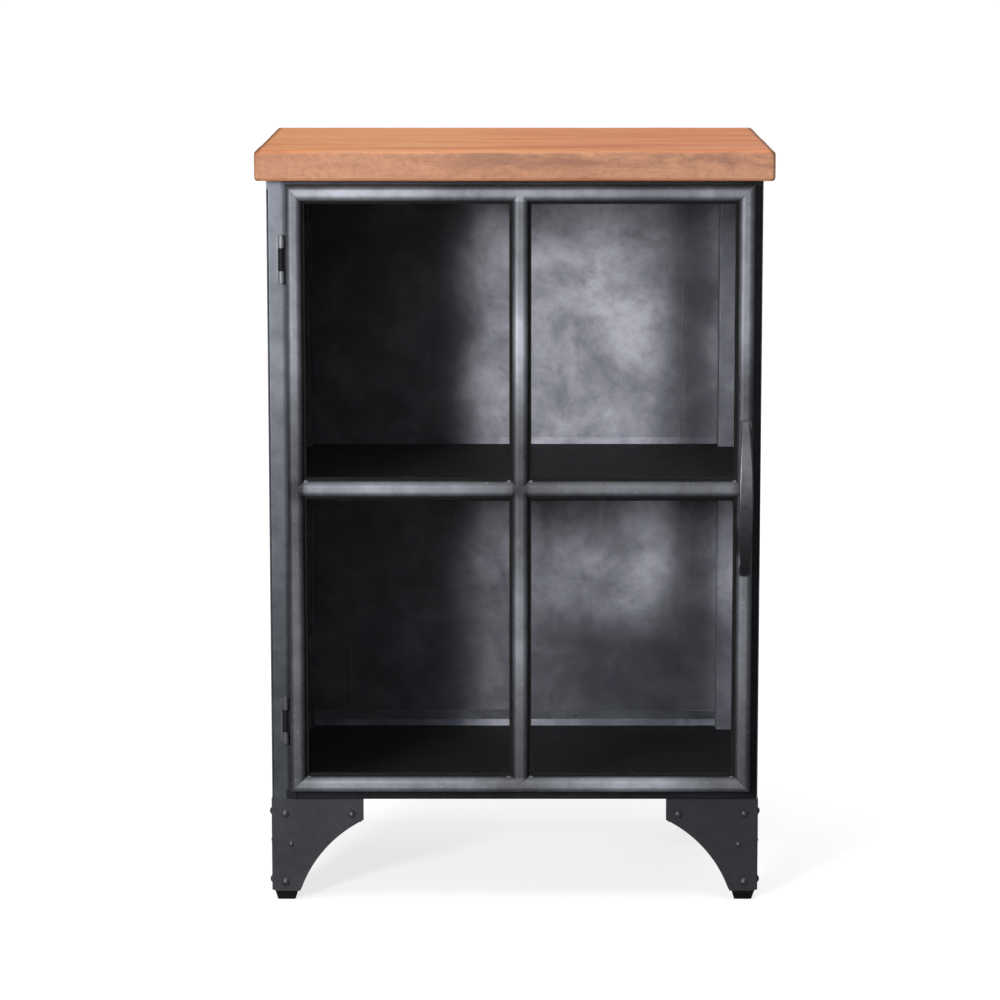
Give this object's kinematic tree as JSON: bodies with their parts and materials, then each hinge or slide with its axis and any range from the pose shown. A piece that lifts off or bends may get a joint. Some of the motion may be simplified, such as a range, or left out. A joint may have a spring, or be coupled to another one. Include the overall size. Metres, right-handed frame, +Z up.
{
  "type": "storage cabinet",
  "caption": "Industrial storage cabinet with a solid wood top, a blackened steel body, a glazed door in steel bars, a middle shelf and riveted bracket feet.",
  "frame": {"origin": "on the floor, at the middle of the overall box", "axes": "+Z up, +X to the right seen from the front, -Y out of the front, so the door opens towards -Y"},
  "size_m": [0.515, 0.392, 0.768],
  "materials": {
    "top_wood": "oiled, worn",
    "frame_steel": "brushed and blackened",
    "sheet_steel": "blackened",
    "patina_steel": "cloudy patina",
    "shelf_steel": "blackened",
    "pull_steel": "dark gunmetal",
    "door_steel": "worn gunmetal",
    "foot_steel": "charcoal, satin",
    "rivet_steel": "satin",
    "bright_steel": "satin",
    "hinge_black": "satin",
    "clear_glass": "clear",
    "black_rubber": "matte",
    "catch_plastic": "matte",
    "zinc_screws": "satin"
  },
  "bodies": {
    "cabinet": {"wood_top": "top_wood", "top_screws": "zinc_screws", "top_rail_front": "frame_steel", "top_rail_rear": "frame_steel", "top_rail_left": "frame_steel", "top_rail_right": "frame_steel", "post_front_left": "frame_steel", "post_front_right": "frame_steel", "post_rear_left": "patina_steel", "post_rear_right": "patina_steel", "bottom_rail_front": "frame_steel", "bottom_rail_rear": "frame_steel", "bottom_rail_left": "frame_steel", "bottom_rail_right": "frame_steel", "side_panel_left": "sheet_steel", "side_panel_right": "sheet_steel", "rear_strip_left": "patina_steel", "rear_strip_right": "patina_steel", "back_panel": "patina_steel", "back_screws": "zinc_screws", "floor_rivets": "rivet_steel", "bottom_panel": "shelf_steel", "shelf": "shelf_steel", "shelf_supports": "sheet_steel", "foot_bracket_front_left": "foot_steel", "foot_bracket_front_right": "foot_steel", "foot_bracket_rear_left": "foot_steel", "foot_bracket_rear_right": "foot_steel", "foot_rivets": "rivet_steel", "foot_lugs": "foot_steel", "foot_glide_front_left": "black_rubber", "foot_glide_front_right": "black_rubber", "foot_glide_rear_left": "black_rubber", "foot_glide_rear_right": "black_rubber", "catch_magnet": "catch_plastic", "door_bumpers": "black_rubber", "hinge_upper_frame_half": "bright_steel", "hinge_lower_frame_half": "bright_steel", "hinge_pins": "bright_steel"},
    "door": {"door_stile_hinge": "door_steel", "door_stile_latch": "door_steel", "door_rail_top": "door_steel", "door_rail_bottom": "door_steel", "door_mullion": "door_steel", "door_mid_rail_left": "door_steel", "door_mid_rail_right": "door_steel", "glass_upper_left": "clear_glass", "glass_upper_right": "clear_glass", "glass_lower_left": "clear_glass", "glass_lower_right": "clear_glass", "gasket_upper_left": "black_rubber", "gasket_upper_right": "black_rubber", "gasket_lower_left": "black_rubber", "gasket_lower_right": "black_rubber", "glazing_clips": "bright_steel", "hinge_upper_door_half": "hinge_black", "hinge_lower_door_half": "hinge_black", "pull": "pull_steel", "pull_screws": "zinc_screws", "strike_plate": "bright_steel"}
  },
  "joints": [
    {"name": "door_hinge", "type": "hinge", "parent": "cabinet", "child": "door", "pos_m": [-0.2326, -0.161, 0.419], "axis": [0, 0, -1], "range_deg": [0, 110]}
  ]
}
